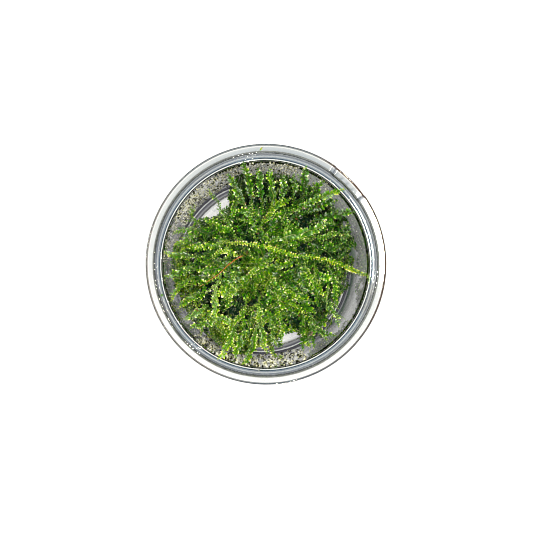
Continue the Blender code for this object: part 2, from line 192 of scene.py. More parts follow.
# Places where the clump is open down to the cup's floor, each by its middle and radius
GAPS = [
    ((0.0095, -0.03), 0.0022), ((0.013, -0.0285), 0.0016), ((0.0075, -0.0218), 0.0008),
    ((-0.0195, 0.0232), 0.0023), ((-0.0225, 0.0212), 0.0016), ((-0.016, 0.025), 0.0014),
]
OPEN_SHARE = 0.15
# How near the long shoot and the red stem no shoot of the mat runs over them
KEPT_IN_SIGHT = 0.0014

# Neighbouring shoots of the mat run much the same way, which changes over some 15 mm.
DRIFT_SCALE = 65.0
DRIFT_SHIFTS = [Vector((0.0, 0.0, 0.0)), Vector((17.3, 5.1, 9.7)), Vector((4.9, 31.7, 22.3))]

# The waves of the frame's own shoots
WAVE_PERIODS = (0.005, 0.009)
WAVE_SIZES = (0.0002, 0.0006)


def colour_of(red, green, blue):
    """Linear colour of an sRGB one given from 0 to 255."""
    shares = (red / 255, green / 255, blue / 255)
    return tuple(((c + 0.055) / 1.055) ** 2.4 if c > 0.04 else c / 12.92 for c in shares)


# Materials

def fill_inputs(tree, node, inputs):
    """Links each input that is given a socket, and sets each that is given a number or a colour."""
    for name, value in inputs.items():
        socket = node.inputs[name]
        if isinstance(value, bpy.types.NodeSocket):
            tree.links.new(value, socket)
        elif isinstance(value, tuple):
            socket.default_value = (*value, 1.0)
        else:
            socket.default_value = value


def add_node(tree, kind, inputs, **settings):
    made = tree.nodes.new("ShaderNode" + kind)
    for name, value in settings.items():
        setattr(made, name, value)
    fill_inputs(tree, made, inputs)
    return made


def new_material(name, inputs):
    """A material with one Principled shader whose own sockets hold the given values."""
    made = bpy.data.materials.new(name)
    made.use_nodes = True
    tree = made.node_tree
    shader = tree.nodes["Principled BSDF"]
    fill_inputs(tree, shader, inputs)
    return made, tree, shader


def add_ramp(tree, stops, source):
    """A colour ramp through (place, linear colour) stops."""
    ramp = add_node(tree, "ValToRGB", {"Fac": source})
    elements = ramp.color_ramp.elements
    while len(elements) < len(stops):
        elements.new(0.5)
    for element, (place, colour) in zip(elements, stops):
        element.position = place
        element.color = (*colour, 1.0)
    return ramp.outputs["Color"]


def model_place(tree):
    """The model's own coordinates, in metres."""
    return add_node(tree, "TexCoord", {}).outputs["Object"]


def add_noise(tree, scale, detail=3.0):
    """Noise in the model's own coordinates, with scale in cycles a metre."""
    made = add_node(tree, "TexNoise", {"Vector": model_place(tree), "Scale": scale, "Detail": detail})
    return made.outputs["Fac"]


def add_range(tree, source, low, high):
    """The source, from 0.3 to 0.7, mapped to low to high."""
    ends = {"From Min": 0.3, "From Max": 0.7, "To Min": low, "To Max": high}
    return add_node(tree, "MapRange", {"Value": source, **ends}).outputs["Result"]


def add_noise_range(tree, scale, low, high, detail=3.0):
    """Noise mapped to low to high."""
    return add_range(tree, add_noise(tree, scale, detail), low, high)


def add_mix(tree, share, first, second):
    """first mixed with second by share. Either may be a plain colour."""
    made = add_node(tree, "Mix", {"Factor": share, "A": first, "B": second}, data_type="RGBA")
    return made.outputs["Result"]


def add_product(tree, first, second):
    return add_node(tree, "Math", {0: first, 1: second}, operation="MULTIPLY").outputs["Value"]


def set_surface(tree, shader, colour, scale, low, high):
    """Links the shader's colour, and a roughness that noise of the scale varies from low to high."""
    rough = add_noise_range(tree, scale, low, high)
    fill_inputs(tree, shader, {"Base Color": colour, "Roughness": rough})


def add_bump(tree, height, strength, distance, shader):
    bump = add_node(tree, "Bump", {"Strength": strength, "Distance": distance, "Height": height})
    fill_inputs(tree, shader, {"Normal": bump.outputs["Normal"]})


def read_tone(tree):
    """The three parts of the tone attribute.

    They are a leaf's chance value, its youth and its depth in the mat, which sets its painted shade,
    or how much painted wall shade, painted brownish shade and painted dark the plastic gets, or a
    droplet's painted brightness three times.
    """
    tone = add_node(tree, "Attribute", {}, attribute_name="tone")
    return add_node(tree, "SeparateColor", {"Color": tone.outputs["Color"]}).outputs


def leaf_material(name, coat):
    """Thin leaves, wet by the coat, yellower where they are young and darkened by painted shade where they
    lie deep.
    """
    made, tree, shader = new_material(name, {
        "Coat Weight": coat, "Coat Roughness": 0.09, "Coat IOR": 1.5, "IOR": 1.45,
        "Specular IOR Level": 0.15,
    })
    chance, youth, depth = read_tone(tree)
    # The near-white ends of both ramps are painted glints, which the pale leaf tips reach.
    mature = add_ramp(tree, [
        (0.0, colour_of(86, 44, 34)),
        (0.02, colour_of(8, 44, 18)),
        (0.35, colour_of(8, 74, 6)),
        (0.62, colour_of(16, 110, 2)),
        (0.82, colour_of(74, 160, 2)),
        (0.94, colour_of(186, 204, 24)),
        (1.0, colour_of(250, 247, 212)),
    ], chance)
    young = add_ramp(tree, [
        (0.0, colour_of(30, 104, 4)),
        (0.5, colour_of(106, 168, 4)),
        (0.9, colour_of(220, 206, 24)),
        (1.0, colour_of(250, 246, 205)),
    ], chance)
    fresh = add_mix(tree, youth, mature, young)
    mottle = add_noise(tree, 1800.0)
    paled = add_mix(tree, add_range(tree, mottle, 0.0, 0.06), fresh, colour_of(170, 200, 30))
    # Painted shade, partly also the darker colour of older leaves: the deeper a leaf lies, the nearer it
    # is to dark green.
    shaded = add_mix(tree, depth, paled, colour_of(12, 36, 22))
    set_surface(tree, shader, shaded, 900.0, 0.16, 0.34)
    add_bump(tree, mottle, 0.25, 0.0001, shader)
    # Light also comes through the thin blades.
    through = add_node(tree, "BsdfTranslucent", {"Color": shaded})
    blend = add_node(tree, "MixShader", {0: LIGHT_THROUGH, 1: shader.outputs[0], 2: through.outputs[0]})
    fill_inputs(tree, tree.nodes["Material Output"], {"Surface": blend.outputs["Shader"]})
    return made


def stem_material(name, old, young):
    """A smooth moist stem that turns from its old colour to its young one along its length."""
    made, tree, shader = new_material(name, {"Coat Weight": 0.6, "Coat Roughness": 0.12, "IOR": 1.45})
    _, youth, depth = read_tone(tree)
    along = add_ramp(tree, [(0.0, old), (1.0, young)], youth)
    # Painted shade: the deeper a stem lies in the mat, the nearer it is to dark green.
    shaded = add_mix(tree, depth, along, colour_of(14, 40, 14))
    mottled = add_mix(tree, add_noise_range(tree, 900.0, 0.0, 0.25), shaded, colour_of(190, 190, 80))
    set_surface(tree, shader, mottled, 400.0, 0.3, 0.45)
    return made


def plastic_material():
    """Clear, glossy plastic with painted shade, brownish and dark, and painted green and blue reflections.
    """
    made, tree, shader = new_material("clear_plastic", {"Transmission Weight": 1.0, "IOR": 1.5})
    painted_wall_shade, painted_brown, painted_dark = read_tone(tree)
    # The wall is clear where it is faced, and its painted shade and painted reflection of the moss
    # show where it is seen edge-on.
    uneven = add_product(tree, painted_wall_shade, add_noise_range(tree, 80.0, 0.84, 1.04, 2.0))
    facing = add_node(tree, "LayerWeight", {}).outputs["Facing"]
    seen_wall_shade = add_product(tree, uneven, add_range(tree, facing, FACED_SHARE, 1.0))
    # The painted tint is a blue painted reflection in patches at the rim and a nearly black painted
    # shadow at the cup's foot.
    parts = add_node(tree, "SeparateXYZ", {"Vector": model_place(tree)})
    drop = {0: parts.outputs["Z"], 1: -HEIGHT_PULL, 2: add_noise(tree, 40.0)}
    darker = add_node(tree, "Math", drop, operation="MULTIPLY_ADD").outputs["Value"]
    painted_darkening = add_ramp(tree, [(BLUE_UP_TO, PAINTED_BLUE_REFLECTION), (DARK_FROM, PAINTED_SHADOW_COLOUR)], darker)
    colour = WHITE
    for share, tint in ((seen_wall_shade, PAINTED_MOSS_REFLECTION), (painted_brown, PAINTED_BROWN_SHADE), (painted_dark, painted_darkening)):
        colour = add_mix(tree, share, colour, tint)
    set_surface(tree, shader, colour, 300.0, 0.01, 0.05)
    add_bump(tree, add_noise(tree, 120.0, 1.0), 0.05, 0.0003, shader)
    taken = add_node(tree, "VolumeAbsorption", {"Color": (0.3, 0.32, 0.3), "Density": 220.0})
    fill_inputs(tree, tree.nodes["Material Output"], {"Volume": taken.outputs["Volume"]})
    return made


def water_material():
    """Clear beads of water with painted shade where their tone is low and painted highlight where it is
    high.
    """
    made, tree, shader = new_material("water", {"Transmission Weight": 0.35, "IOR": 1.33})
    cast = add_ramp(tree, [
        (0.0, colour_of(12, 16, 8)),
        (0.45, colour_of(70, 74, 44)),
        (0.6, colour_of(236, 232, 180)),
        (1.0, WHITE),
    ], read_tone(tree)[0])
    set_surface(tree, shader, cast, 500.0, 0.02, 0.1)
    return made


def floor_material():
    """A white sheet lit from below, as a light table is."""
    made, tree, shader = new_material("white_sheet", {
        "Roughness": 0.6, "Emission Strength": FLOOR_GLOW, "Emission Color": WHITE,
    })
    pale = add_ramp(tree, [(0.3, (0.1, 0.1, 0.1)), (0.7, (0.11, 0.11, 0.11))], add_noise(tree, 30.0))
    fill_inputs(tree, shader, {"Base Color": pale})
    return made


# Mesh helpers

def new_object(name, data):
    made = bpy.data.objects.new(name, data)
    bpy.context.scene.collection.objects.link(made)
    return made


def place_piece(obj, slot, *replaced):
    """Makes a finished object ride on the root body and hides the frame's parts that it replaces; slot is
    not used.
    """
    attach(obj, BODY)
    if replaced:
        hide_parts(*replaced)


class Growth:
    """Collects triangles, with a tone for each vertex and a material number for each triangle."""

    def __init__(self):
        self.places, self.corners, self.tones, self.numbers = [], [], [], []
        self.count = 0

    def add(self, places, corners, tones, number):
        self.places.append(places)
        self.corners.append(corners + self.count)
        self.tones.append(tones)
        self.numbers.append(np.broadcast_to(number, len(corners)))
        self.count += len(places)

    def to_object(self, name, materials):
        places = np.concatenate(self.places)
        corners = np.concatenate(self.corners)
        mesh = bpy.data.meshes.new(name)
        mesh.vertices.add(len(places))
        mesh.vertices.foreach_set("co", places.astype(np.float32).ravel())
        mesh.loops.add(corners.size)
        mesh.loops.foreach_set("vertex_index", corners.astype(np.int32).ravel())
        mesh.polygons.add(len(corners))
        mesh.polygons.foreach_set("loop_start", np.arange(0, corners.size, 3, dtype=np.int32))
        mesh.polygons.foreach_set("material_index", np.concatenate(self.numbers).astype(np.int32))
        tone = mesh.attributes.new("tone", "FLOAT_COLOR", "POINT")
        colours = np.column_stack([np.concatenate(self.tones), np.ones(len(places))])
        tone.data.foreach_set("color", colours.astype(np.float32).ravel())
        mesh.update(calc_edges=True)
        mesh.validate()
        mesh.shade_smooth()
        for finish in materials:
            mesh.materials.append(finish)
        return new_object(name, mesh)


# Leaves and stems

class Leaf:
    """A folded, bent-back blade as rows across its length, from its foot to its tip.

    Its foot is darker with painted shade, its middle is darker than its edges, and its end is the
    palest, a painted glint.
    """

    def __init__(self, rows, fold, bend):
        places = [(0.0, 0.0, 0.0)]
        shade_to_glint = [FOOT_PAINTED_SHADE]
        for share, half_width in rows:
            drop = -bend * share**2
            places += [(share, side * half_width, drop + fold * abs(side)) for side in (-1, 0, 1)]
            # Painted light along the blade: darker towards its foot as shade, paler towards its tip as a
            # glint.
            pale = 0.25 + 1.7 * share
            shade_to_glint += [pale, MIDDLE_PALENESS * pale, pale]
        places.append((1.0, 0.0, -bend))
        self.places = np.array(places)
        self.shade_to_glint = np.array(shade_to_glint + [TIP_PAINTED_GLINT])
        tip = len(places) - 1
        corners = [(0, 1, 2), (0, 2, 3)]
        for row in range(len(rows) - 1):
            a = 1 + 3 * row
            corners += [(a, a + 3, a + 4), (a, a + 4, a + 1)]
            corners += [(a + 1, a + 4, a + 5), (a + 1, a + 5, a + 2)]
        corners += [(tip - 3, tip, tip - 2), (tip - 2, tip, tip - 1)]
        self.corners = np.array(corners)

    def grown(self, feet, along, across, lengths, widths, tones):
        """Vertices, triangles and tones of one leaf for each foot."""
        normal = np.cross(along, across)
        run, side, rise = self.places.T
        places = (feet[:, None]
                  + along[:, None] * (run * lengths[:, None])[..., None]
                  + across[:, None] * (side * widths[:, None])[..., None]
                  + normal[:, None] * (rise * lengths[:, None])[..., None])
        first = (np.arange(len(feet)) * len(run))[:, None, None]
        corners = (self.corners[None] + first).reshape(-1, 3)
        tones = np.repeat(tones, len(run), axis=0)
        tones[:, 0] = np.minimum(1.0, tones[:, 0] * np.tile(self.shade_to_glint, len(feet)))
        return places.reshape(-1, 3), corners, tones


FINE_LEAF = Leaf([(0.32, 0.48), (0.72, 0.4)], fold=0.08, bend=0.16)
PLAIN_LEAF = Leaf([(0.5, 0.5)], fold=0.12, bend=0.15)


@dataclass
class Style:
    """How a shoot is clothed: its blades, the gap between its pairs of them and their proportions.

    Where flat is true, all pairs spread sideways and the stem shows between them.
    """

    leaf: Leaf
    spacing: float
    slimness: float
    stem_radius: float
    flat: bool = False


UP = np.array([0.0, 0.0, 1.0])
SHOWN = Style(FINE_LEAF, 0.00055, 0.52, 0.00018)
OPEN = Style(FINE_LEAF, 0.0009, 0.56, 0.00023, flat=True)
HIDDEN = Style(PLAIN_LEAF, 0.00085, 0.6, 0.00018)
BARE = Style(FINE_LEAF, 0.0013, 0.5, 0.00014, flat=True)


def unit(vectors):
    return vectors / np.maximum(norm(vectors, axis=-1, keepdims=True), 1e-12)


def run_along(points):
    """How far each of the route's points is along it."""
    return np.concatenate([[0.0], np.cumsum(norm(np.diff(points, axis=0), axis=1))])


def even_run(points, values, step):
    """The route, and columns of values along it, sampled again at even steps."""
    along = run_along(points)
    places = np.linspace(0.0, along[-1], max(3, round(along[-1] / step)) + 1)
    columns = np.column_stack([points, values])
    sampled = np.column_stack([np.interp(places, along, column) for column in columns.T])
    return sampled[:, :3], sampled[:, 3:]


def smoothed(points, rounds):
    """The route with its bends eased and its ends kept."""
    points = points.copy()
    for _ in range(rounds):
        points[1:-1] = 0.25 * points[:-2] + 0.5 * points[1:-1] + 0.25 * points[2:]
    return points


def sides_along(points, up):
    """Unit tangents, then sideways and upward directions that keep the shoot's face turned to up."""
    ahead = unit(np.gradient(points, axis=0))
    level = np.cross(up, ahead)
    side = unit(level[0] + 0.05 * np.cross((0.3, 0.9, 0.2), ahead[0]))
    sides = []
    for tangent, way in zip(ahead, level):
        side = unit(way + 0.25 * (side - tangent * np.dot(side, tangent)))
        sides.append(side)
    sides = np.array(sides)
    return ahead, sides, np.cross(ahead, sides)


def grow_stem(growth, points, radius, youth, depth):
    """A slim tube along the route, closed to a point at each end."""
    points, values = even_run(points, np.column_stack([youth, depth]), STEM_STEP)
    ahead, first, second = sides_along(points, UP)
    turns = 2 * np.pi * np.arange(STEM_SIDES) / STEM_SIDES
    out = first[:, None] * np.cos(turns)[None, :, None] + second[:, None] * np.sin(turns)[None, :, None]
    slim = radius * (1.0 - 0.5 * np.linspace(0, 1, len(points)))
    rings = points[:, None] + out * slim[:, None, None]
    ends = points[[0, -1]] + ahead[[0, -1]] * radius * np.array([[-1.0], [1.0]])
    places = np.concatenate([rings.reshape(-1, 3), ends])
    corners = []
    for ring in range(len(points) - 1):
        for k in range(STEM_SIDES):
            a, b = ring * STEM_SIDES + k, ring * STEM_SIDES + (k + 1) % STEM_SIDES
            corners += [(a, b, b + STEM_SIDES), (a, b + STEM_SIDES, a + STEM_SIDES)]
    root, tip = len(places) - 2, len(places) - 1
    last = (len(points) - 1) * STEM_SIDES
    for k in range(STEM_SIDES):
        corners.append((root, (k + 1) % STEM_SIDES, k))
        corners.append((tip, last + k, last + (k + 1) % STEM_SIDES))
    youth, depth = np.repeat(values, STEM_SIDES, axis=0).T
    shades = np.column_stack([np.full(len(youth), 0.5), youth, depth])
    growth.add(places, np.array(corners), np.vstack([shades, shades[0], shades[-1]]), 1)


def grow_shoot(growth, points, reach, depth, style, chance, youth, up, dark=1.0):
    """Clothes a route with a stem and crossed pairs of leaves whose tips end at its reach.

    Every second pair spreads sideways with its blades turned to the shoot's face. The pairs between lie
    closer along the stem, above and below it. More leaves are dark where dark is above 1.
    """
    points, values = even_run(points, np.column_stack([reach, depth]), STEP)
    reach, depth = values.T
    ahead, sides, ups = sides_along(points, up)
    length = STEP * (len(points) - 1)
    young = youth[0] + (youth[1] - youth[0]) * np.linspace(0, 1, len(points))**2.0
    grow_stem(growth, points, style.stem_radius, young, depth)
    pairs = max(3, int(length / style.spacing))
    roll = chance.gauss(0, 0.3)
    rows = []
    for number in range(pairs):
        share = (number + 0.5) / pairs
        on_face = 0 if style.flat else number % 2
        for half in (0, pi):
            turn = roll + on_face * pi / 2 + half + chance.gauss(0, 0.2)
            rows.append((share + chance.gauss(0, 0.15) / pairs, turn, on_face,
                         chance.gauss(0, 1), chance.random(), chance.gauss(0, 1)))
    for k in range(3):
        rows.append((1.0, roll + k * 2.1, 1, 0.0, chance.random(), 0.0))
    share, turn, on_face, size, tint, tilt = np.array(rows).T
    index = np.clip(np.round(share * (len(points) - 1)).astype(int), 0, len(points) - 1)
    near_tip = np.clip((index * STEP - length) / TIP_RUN + 1.0, 0.0, 1.0)
    angle = np.where(on_face > 0, FACE_SPREAD, SIDE_SPREAD) + 8 * tilt
    spread = np.radians(angle) * (1 - 0.4 * near_tip)
    ahead, side, rise = ahead[index], sides[index], ups[index]
    out = side * np.cos(turn)[:, None] + rise * np.sin(turn)[:, None]
    along = ahead * np.cos(spread)[:, None] + out * np.sin(spread)[:, None]
    lying = norm(np.cross(ahead, up), axis=1) * np.where(on_face > 0, 0.0, 0.85)
    facing = unit(ahead * (1 - lying)[:, None] + rise * lying[:, None] + 0.15 * tilt[:, None] * side)
    across = unit(np.cross(facing, along))
    lengths = reach[index] * LEAF_SHARE * (1 - 0.3 * near_tip)
    lengths *= 1 + 0.12 * np.clip(size, -2, 1.2)
    feet = points[index] + out * style.stem_radius * 0.6
    colour = np.where(tint < DEAD_SHARE, 0.0, 0.03 + 0.97 * tint**dark)
    tones = np.column_stack([colour, young[index], depth[index]])
    blades = style.leaf.grown(feet, along, across, lengths, lengths * style.slimness, tones)
    matte = np.repeat(depth[index] > MATTE_FROM, len(style.leaf.corners))
    growth.add(*blades, np.where(matte, 2, 0))


# Routes of the frame's own shoots

def ring_layers(start):
    """Vertices at one, two and more edges from start."""
    seen = {start}
    layers = [[start]]
    while layers[-1]:
        layer = []
        for vertex in layers[-1]:
            for edge in vertex.link_edges:
                other = edge.other_vert(vertex)
                if other not in seen:
                    seen.add(other)
                    layer.append(other)
        layers.append(layer)
    return layers[:-1]


def middle_line(node_name):
    """Ring centres and radii of a shoot's solid, from its root to its thinner tip."""
    shape = bmesh.new()
    shape.from_mesh(NODES[node_name].data)
    bmesh.ops.remove_doubles(shape, verts=shape.verts, dist=1e-6)
    for vertex in shape.verts:
        layers = ring_layers(vertex)
        if len(layers[-1]) == 1 and all(len(layer) == SHOOT_SIDES for layer in layers[1:-1]):
            break
    rings = [np.array([v.co for v in layer]) for layer in layers[1:-1]]
    shape.free()
    centres = np.array([ring.mean(axis=0) for ring in rings])
    radii = np.array([norm(ring - ring.mean(axis=0), axis=1).mean() for ring in rings])
    if radii[0] < radii[-1]:
        centres, radii = centres[::-1], radii[::-1]
    return centres, radii


def curve_through(points, values):
    """A Catmull-Rom curve through the points, with the values along it."""
    columns = np.column_stack([points, values])
    padded = np.vstack([2 * columns[0] - columns[1], columns, 2 * columns[-1] - columns[-2]])
    dense = []
    for a, b, c, d in zip(padded, padded[1:], padded[2:], padded[3:]):
        for t in np.linspace(0, 1, 12, endpoint=False):
            dense.append(0.5 * (2 * b + (c - a) * t + (2 * a - 5 * b + 4 * c - d) * t**2
                                + (3 * b - a - 3 * c + d) * t**3))
    dense.append(columns[-1])
    dense = np.array(dense)
    return dense[:, :3], dense[:, 3]


def rooted(points, values):
    """The route with a stretch before its start that dips into the mat."""
    back = unit(points[0] - points[1])
    inward = unit(np.array([-points[0][0], -points[0][1], 0.0]) + 1e-9)
    bend = unit(back - 1.1 * UP + 0.3 * inward)
    near = points[0] + 0.3 * ROOT_RUN * unit(back + bend)
    far = near + 0.7 * ROOT_RUN * bend
    return np.vstack([far, near, points]), np.concatenate([[values[0]] * 2, values])


def held_inside(place):
    """The place, moved towards the cup's axis where its leaves would reach the wall below the ledge."""
    below = LEDGE_Z - place[2]
    radius = hypot(place[0], place[1])
    most = wall_radius(place[2]) - WALL_CLEARANCE * min(1.0, below / EASED_UNDER_LEDGE)
    if below > 0 and radius > most:
        place[:2] *= most / radius
    return place


def sunny_at(place):
    """How young, and how pale by painted light, the clump is at a place, from 0 at upper right to 1 at
    lower left.
    """
    return min(1.0, max(0.0, 0.5 - float(place @ YOUNGER_AWAY_FROM) / SUNNY_SPAN))


def waved(points, chance):
    """The route with gentle waves to its sides, which grow away from its root."""
    ahead = unit(np.gradient(points, axis=0))
    side = unit(np.cross(UP, ahead) + 1e-9)
    run = run_along(points)
    period = chance.uniform(*WAVE_PERIODS)
    size = chance.uniform(*WAVE_SIZES) * np.minimum(1.0, run / 0.004)
    return points + side * (size * np.sin(2 * np.pi * (run / period + chance.random())))[:, None]


def branch_from(points, chance):
    """A short side branch that leaves the route at a chance place."""
    start = int(len(points) * chance.uniform(0.25, 0.75))
    ahead = unit(points[start + 1] - points[start - 1])
    side = unit(np.cross(UP, ahead)) * chance.choice((-1, 1))
    way = unit(ahead + side * chance.uniform(0.5, 0.9) + UP * chance.uniform(-0.2, 0.2))
    run = np.linspace(0, 1, 6)[:, None]
    length = chance.uniform(0.003, 0.006)
    route = points[start] + length * run * unit(way * (1 - 0.3 * run) + ahead * 0.3 * run)
    return np.array([held_inside(point) for point in route])


def dress_shoot(node_name, finishes, slot, style=SHOWN, youth=(0.1, 0.9), root=True, dark=1.0,
                share=0.85, branches=0, waves=False):
    """Replaces one of the frame's shoots with a leafy one along its middle.

    Its leaves reach a share of the shoot's radius.
    """
    chance = random.Random(node_name)
    points, radii = middle_line(node_name)
    if root:
        points, radii = rooted(points, radii)
    points, radii = curve_through(points, radii)
    if waves:
        points = np.array([held_inside(point) for point in waved(points, chance)])
    growth = Growth()
    grow_shoot(growth, points, share * radii, np.zeros(len(radii)), style, chance, youth, UP, dark)
    for _ in range(branches):
        side = branch_from(points, chance)
        reach = 0.8 * share * radii.mean() * np.linspace(1.0, 0.7, len(side))
        grow_shoot(growth, side, reach, np.zeros(len(side)), style, chance, youth, UP, dark)
    place_piece(growth.to_object(node_name + "_leaves", finishes), slot, node_name)


def build_shoots(finishes):
    """The shoots along the rim and on top, some open and some full, and some younger than others."""
    chance = random.Random(11)
    for name in sorted(NODES):
        style = chance.choice((SHOWN, SHOWN, SHOWN, SHOWN, OPEN))
        branches = chance.choice((1, 2, 2, 3))
        middle = sum(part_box(name), Vector()) / 2
        sunny = sunny_at(np.array(middle))
        young = chance.uniform(0.3, 1.0) * (0.45 + 0.55 * sunny)
        if name.startswith("rim_shoot"):
            slot, youth, dark, share = "moss_tip", (0.0, young), 2.0 - 1.2 * sunny, 1.0
        elif name.startswith("top_shoot"):
            slot, youth, dark, share = "moss_leaf", (0.5 * young, young), 1.1 - 0.5 * sunny, 0.95
        else:
            continue
        dress_shoot(name, finishes, slot, style, youth, dark=dark, share=share, branches=branches,
                    waves=True)


# The mat

def mat_surface():
    """The mat's surface for nearest-point questions, and its triangles with their areas."""
    mesh = NODES["moss_mat"].data
    mesh.calc_loop_triangles()
    places = np.array([v.co for v in mesh.vertices])
    corners = np.array([t.vertices[:] for t in mesh.loop_triangles])
    tree = BVHTree.FromPolygons(places.tolist(), corners.tolist())
    a, b, c = places[corners].transpose(1, 0, 2)
    return tree, places[corners], 0.5 * norm(np.cross(b - a, c - a), axis=1)


def surface_points(triangles, areas, count, chance):
    """Points spread evenly by area, with their triangle's outward normal."""
    for pick in chance.choices(range(len(areas)), weights=areas, k=count):
        a, b, c = triangles[pick]
        u, v = chance.random(), chance.random()
        if u + v > 1:
            u, v = 1 - u, 1 - v
        normal = unit(np.cross(b - a, c - a))
        yield a + (b - a) * u + (c - a) * v, normal


def rising_route(tree, start, heading, length, root_depth, chance):
    """A route that starts deep in the mat and comes up under its surface, and its depths.

    It is worked out from its tip back to its root.
    """
    step = ROUTE_STEP
    place = Vector(start)
    near, outward, _, _ = tree.find_nearest(place)
    tip_depth = (near - place).dot(outward)
    back = Vector(heading)
    route, depths = [place.copy()], [tip_depth]
    wander = Vector((chance.gauss(0, 1), chance.gauss(0, 1), chance.gauss(0, 0.4))) * 0.15
    count = max(5, round(length / step))
    for number in range(count):
        near, outward, _, _ = tree.find_nearest(place)
        deep = (near - place).dot(outward)
        wanted = tip_depth + (root_depth - tip_depth) * ((number + 1) / count) ** DIP_POWER
        back = back - outward * back.dot(outward) * 0.6
        back = back + wander - outward * max(-0.8, min(0.8, (wanted - deep) / step * 0.35))
        back.normalize()
        place = place + back * step
        route.append(place.copy())
        depths.append(deep)
    route = smoothed(np.array([point[:] for point in reversed(route)]), 3)
    return np.array([held_inside(point) for point in route]), np.array(depths[::-1])


def heading_back(place, normal, chance):
    """The way from a shoot's tip to its root: inward at the mat's edge, down its side, else any way."""
    radius = hypot(place[0], place[1])
    inward = -np.array([place[0], place[1], 0.0]) / max(radius, 1e-6)
    drift = np.array([noise.noise(Vector(place) * DRIFT_SCALE + shift) for shift in DRIFT_SHIFTS])
    any_way = 3.0 * drift + [chance.gauss(0, 0.4), chance.gauss(0, 0.4), chance.gauss(0, 0.3)]
    edge = min(1.0, max(0.0, (radius - EDGE_FROM) / EDGE_RUN))
    down = -UP * (1.0 - abs(normal[2]))
    way = any_way * (1.0 - 0.45 * edge) + inward * 1.5 * edge * max(0.0, normal[2]) + down * 1.6
    way = way - normal * np.dot(way, normal)
    return unit(way)


@dataclass
class Layer:
    """One layer of the mat's shoots: the part of the surface over their tips, and how they grow.

    Depths, leaves' reaches and lengths are ranges. bare is the share left out where the clump is thin.
    """

    part: np.ndarray
    per_cm2: float
    style: Style
    tip_depths: tuple
    root_depths: tuple
    reaches: tuple
    lengths: tuple = (0.01, 0.016)
    bare: float = 0.0


def covers(route, line):
    """Whether a shoot on the route would hide part of the line from above."""
    apart = norm(route[:, None, :2] - line[None, :, :2], axis=2)
    return bool(np.any((apart < KEPT_IN_SIGHT) & (route[:, None, 2] > line[None, :, 2])))


def grow_layer(layer, surface, sectors, chance):
    """Grows one layer's shoots, each into the sector that its tip is in."""
    tree, triangles, areas = surface
    shown = np.vstack([middle_line(name)[0] for name in ("long_shoot", "red_stem")])
    weights = np.where(layer.part, areas, 0.0)
    count = round(weights.sum() * 1e4 * layer.per_cm2)
    for tip, normal in surface_points(triangles, weights, count, chance):
        thin = noise.noise(Vector(tip) * THIN_PATCHES) < THIN_BELOW
        if thin and chance.random() < layer.bare:
            continue
        start = held_inside(tip - normal * chance.uniform(*layer.tip_depths))
        heading = heading_back(tip, normal, chance)
        length, root_depth = chance.uniform(*layer.lengths), chance.uniform(*layer.root_depths)
        route, depths = rising_route(tree, start, heading, length, root_depth, chance)
        near = [norm(route[:, :2] - middle, axis=1).min() < radius for middle, radius in GAPS]
        if any(near) or covers(route, shown):
            continue
        reach = chance.uniform(*layer.reaches) * np.minimum(1.0, 0.6 + np.linspace(2.2, 0, len(route)))
        shade = np.clip((depths - SHADE_FROM) / (SHADE_TO - SHADE_FROM), 0.0, 1.0)
        sunny = sunny_at(tip)
        young = chance.random() ** 1.2 * (0.25 + 0.75 * sunny)
        sector = int((degrees(atan2(tip[1], tip[0])) % 360) / 360 * SECTORS) % SECTORS
        style = OPEN if layer.style is SHOWN and chance.random() < OPEN_SHARE else layer.style
        patch = noise.noise(Vector(tip) * PALER_PATCHES)
        paler = PATCH_CONTRAST * patch + chance.gauss(0, SHOOT_CONTRAST)
        # Leaves are darker towards the upper right as painted shade; the patches and each shoot's own
        # contrast differ at random.
        dark = (2.5 - 1.7 * sunny) * exp(-paler)
        grow_shoot(sectors[sector], route, reach, shade, style, chance,
                   (0.5 * sunny * young, young), normal, dark)


def build_mat(finishes):
    """The mat, as shoots in each sector round the cup's axis."""
    chance = random.Random(5)
    surface = mat_surface()
    triangles = surface[1]
    heights = triangles[:, :, 2].mean(axis=1)
    normals = unit(np.cross(triangles[:, 1] - triangles[:, 0], triangles[:, 2] - triangles[:, 0]))
    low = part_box("moss_mat")[0].z
    top = (normals[:, 2] > TOP_SLOPE) & (heights > low + TOP_HEIGHT)
    side = ~top & (normals[:, 2] > -0.5)
    fringe = (heights > FRINGE_LOW) & (normals[:, 2] < 0.75)
    sectors = [Growth() for _ in range(SECTORS)]
    layers = [
        Layer(top, 4.2, SHOWN, (-0.0012, 0.0004), (0.003, 0.006), (0.0012, 0.0017), (0.012, 0.022), 0.85),
        Layer(top, 4.0, SHOWN, (0.001, 0.0024), (0.004, 0.007), (0.0011, 0.0015), (0.01, 0.018), 0.65),
        Layer(side, 7.0, SHOWN, (-0.001, 0.0006), (0.0025, 0.0055), (0.0011, 0.0015), (0.008, 0.015), 0.3),
        Layer(fringe, 6.0, SHOWN, (-0.0036, -0.0008), (0.0025, 0.005), (0.001, 0.0014)),
        Layer(top, 9.5, HIDDEN, (0.0028, 0.0048), (0.005, 0.008), (0.0014, 0.0018)),
        Layer(top, 7.0, HIDDEN, (0.0055, 0.008), (0.009, 0.012), (0.0016, 0.0021)),
        Layer(side, 3.0, HIDDEN, (0.0022, 0.004), (0.005, 0.008), (0.0015, 0.0019)),
    ]
    for layer in layers:
        grow_layer(layer, surface, sectors, chance)
    for number, growth in enumerate(sectors, 1):
        place_piece(growth.to_object(f"moss_mat_shoots_{number}", finishes), "moss_mat", "moss_mat")


# The cup

